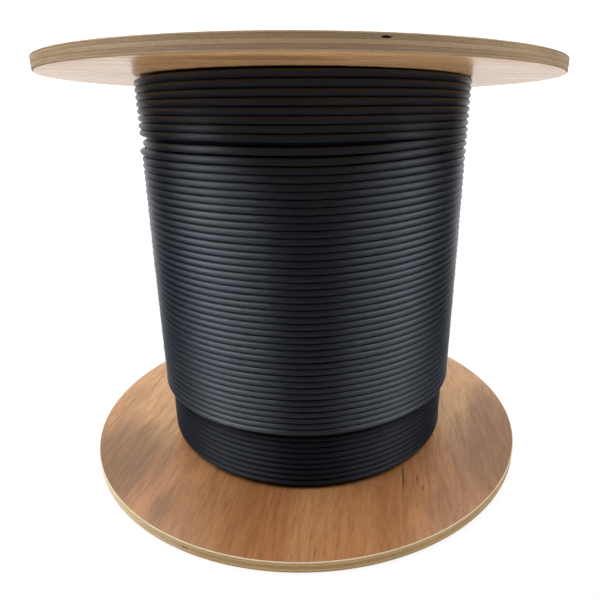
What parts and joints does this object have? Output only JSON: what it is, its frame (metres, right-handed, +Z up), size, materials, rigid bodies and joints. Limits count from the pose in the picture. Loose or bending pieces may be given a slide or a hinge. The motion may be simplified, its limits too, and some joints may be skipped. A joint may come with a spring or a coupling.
{
  "type": "wooden cable drum",
  "caption": "Plywood cable drum standing on its lower flange: round flanges on a paper barrel, clamped by tie bolts, wound with layers of round black cable, the last one part filled.",
  "frame": {"origin": "centre of the lower flange's outer face, which stands on the floor", "axes": "+Z up along the drum's axis; -Y towards the viewer of the picture; +X to the viewer's right"},
  "size_m": [0.4, 0.4, 0.3333],
  "materials": {
    "plywood": "sanded, unfinished",
    "paper_tube": "spiral-wound kraft paper",
    "cable_jacket": "satin extruded jacket",
    "zinc_steel": "bright zinc plate"
  },
  "bodies": {
    "root": {"flange_lower": "plywood", "flange_upper": "plywood", "barrel": "paper_tube", "cable_winding": "cable_jacket", "tie_bolt_1": "zinc_steel", "tie_bolt_2": "zinc_steel", "tie_bolt_3": "zinc_steel", "tie_bolt_4": "zinc_steel", "washer_1": "zinc_steel", "washer_2": "zinc_steel", "washer_3": "zinc_steel", "washer_4": "zinc_steel", "tee_nut_1": "zinc_steel", "tee_nut_2": "zinc_steel", "tee_nut_3": "zinc_steel", "tee_nut_4": "zinc_steel"}
  },
  "joints": []
}
